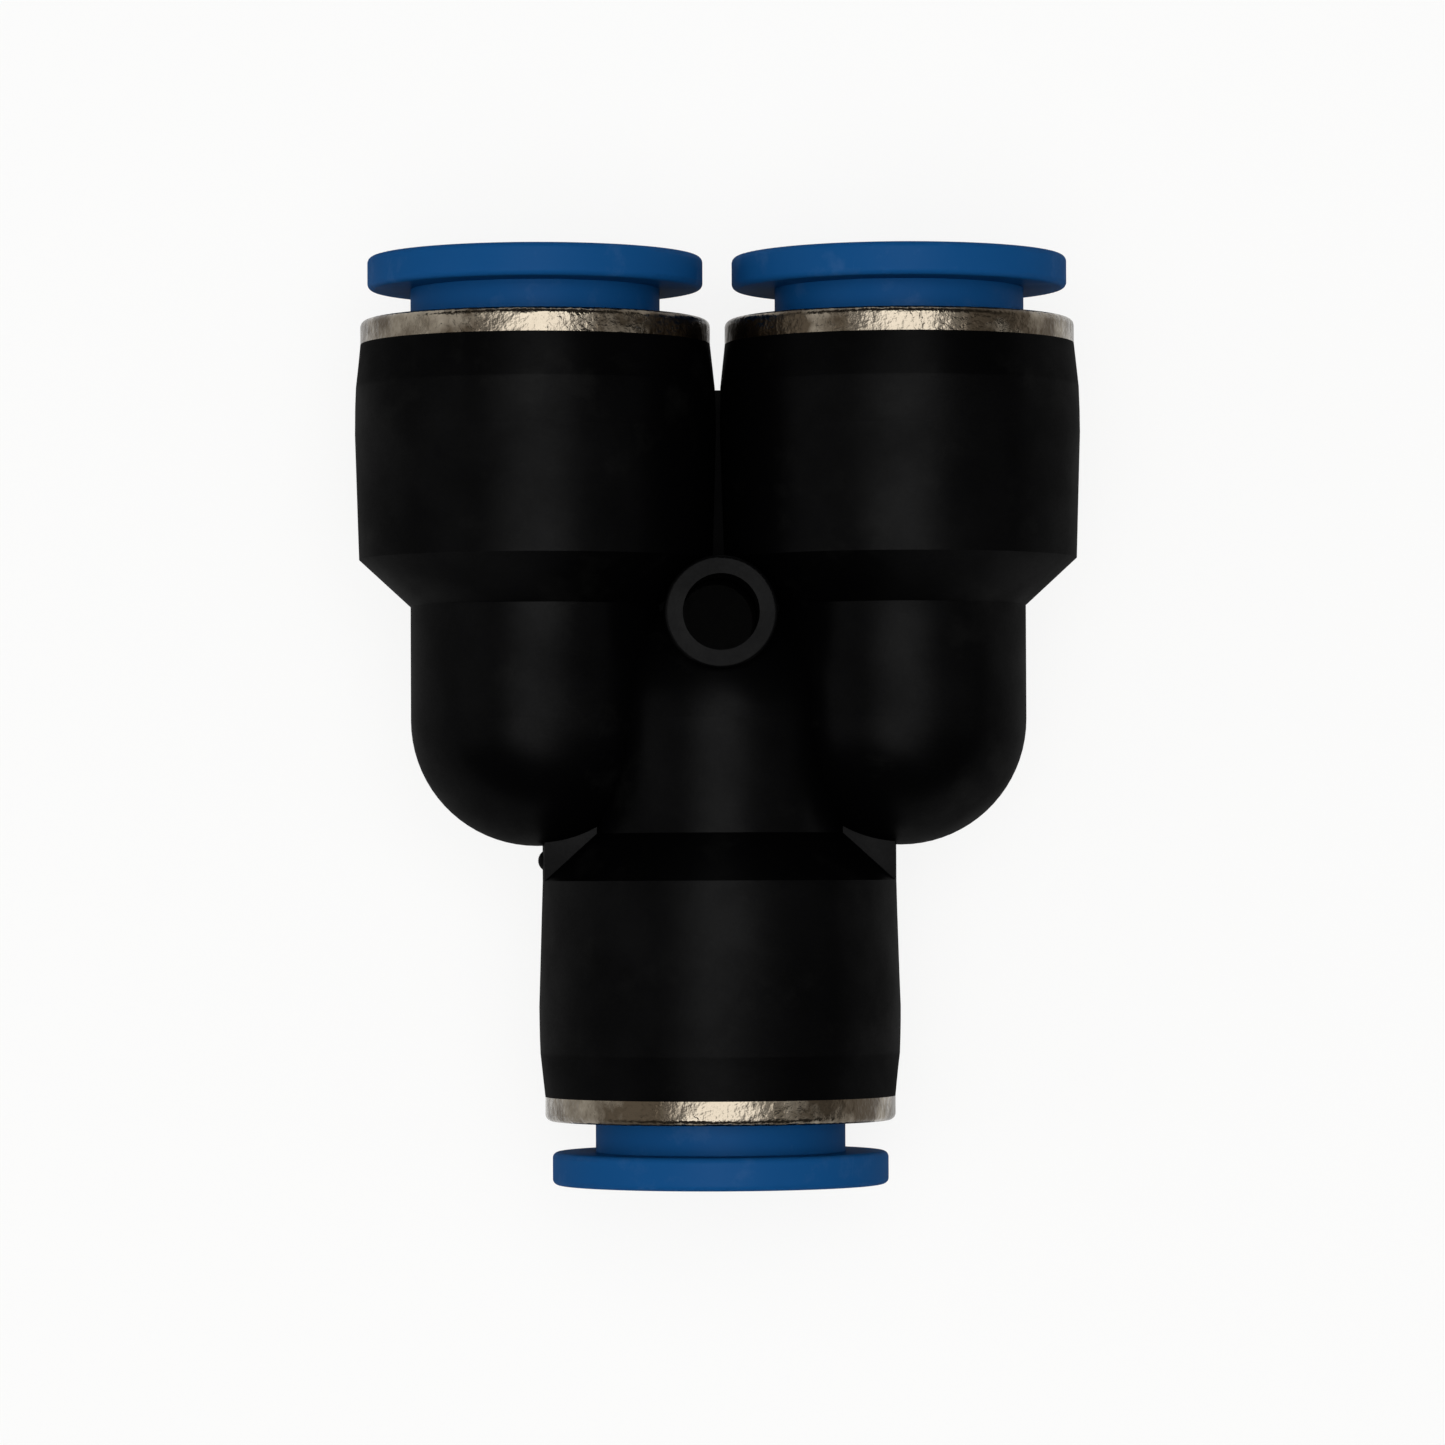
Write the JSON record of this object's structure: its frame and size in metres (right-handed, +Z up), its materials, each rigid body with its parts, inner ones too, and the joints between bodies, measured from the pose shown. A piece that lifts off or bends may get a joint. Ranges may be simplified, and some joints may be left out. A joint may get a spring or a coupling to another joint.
{
  "type": "y tube connector",
  "caption": "Y-shaped push-in union that joins a stem tube to two side-by-side branch tubes, with release collars and a mounting hole between the branches.",
  "frame": {"origin": "on the surface the part lies on, under the centre of its overall box; the port axes meet directly above, at half the part's height", "axes": "+X across the two branch ports, towards the right one; +Y along the ports, towards the two branch ports; +Z up, along the mounting hole"},
  "size_m": [0.0422, 0.0538, 0.021],
  "materials": {
    "housing_plastic": "black moulded plastic, fine texture",
    "collar_plastic": "blue moulded plastic, satin",
    "plated_brass": "nickel-plated brass, lightly mottled",
    "spring_steel": "bright stainless spring steel",
    "spacer_plastic": "natural moulded plastic",
    "seal_rubber": "black rubber"
  },
  "bodies": {
    "housing": {"body": "housing_plastic", "guide_ring_left": "plated_brass", "guide_ring_right": "plated_brass", "guide_ring_stem": "plated_brass", "claw_ring_left": "spring_steel", "claw_ring_right": "spring_steel", "claw_ring_stem": "spring_steel", "spacer_ring_left": "spacer_plastic", "spacer_ring_right": "spacer_plastic", "spacer_ring_stem": "spacer_plastic", "seal_ring_left": "seal_rubber", "seal_ring_right": "seal_rubber", "seal_ring_stem": "seal_rubber"},
    "collar_left": {"release_collar_left": "collar_plastic"},
    "collar_right": {"release_collar_right": "collar_plastic"},
    "collar_stem": {"release_collar_stem": "collar_plastic"}
  },
  "joints": [
    {"name": "collar_left_slide", "type": "slide", "parent": "housing", "child": "collar_left", "axis": [0, -1, 0], "range_m": [0, 0.00175], "deforming": ["claw_ring_left"]},
    {"name": "collar_right_slide", "type": "slide", "parent": "housing", "child": "collar_right", "axis": [0, -1, 0], "range_m": [0, 0.00175], "deforming": ["claw_ring_right"]},
    {"name": "collar_stem_slide", "type": "slide", "parent": "housing", "child": "collar_stem", "axis": [0, 1, 0], "range_m": [0, 0.00175], "deforming": ["claw_ring_stem"]}
  ]
}
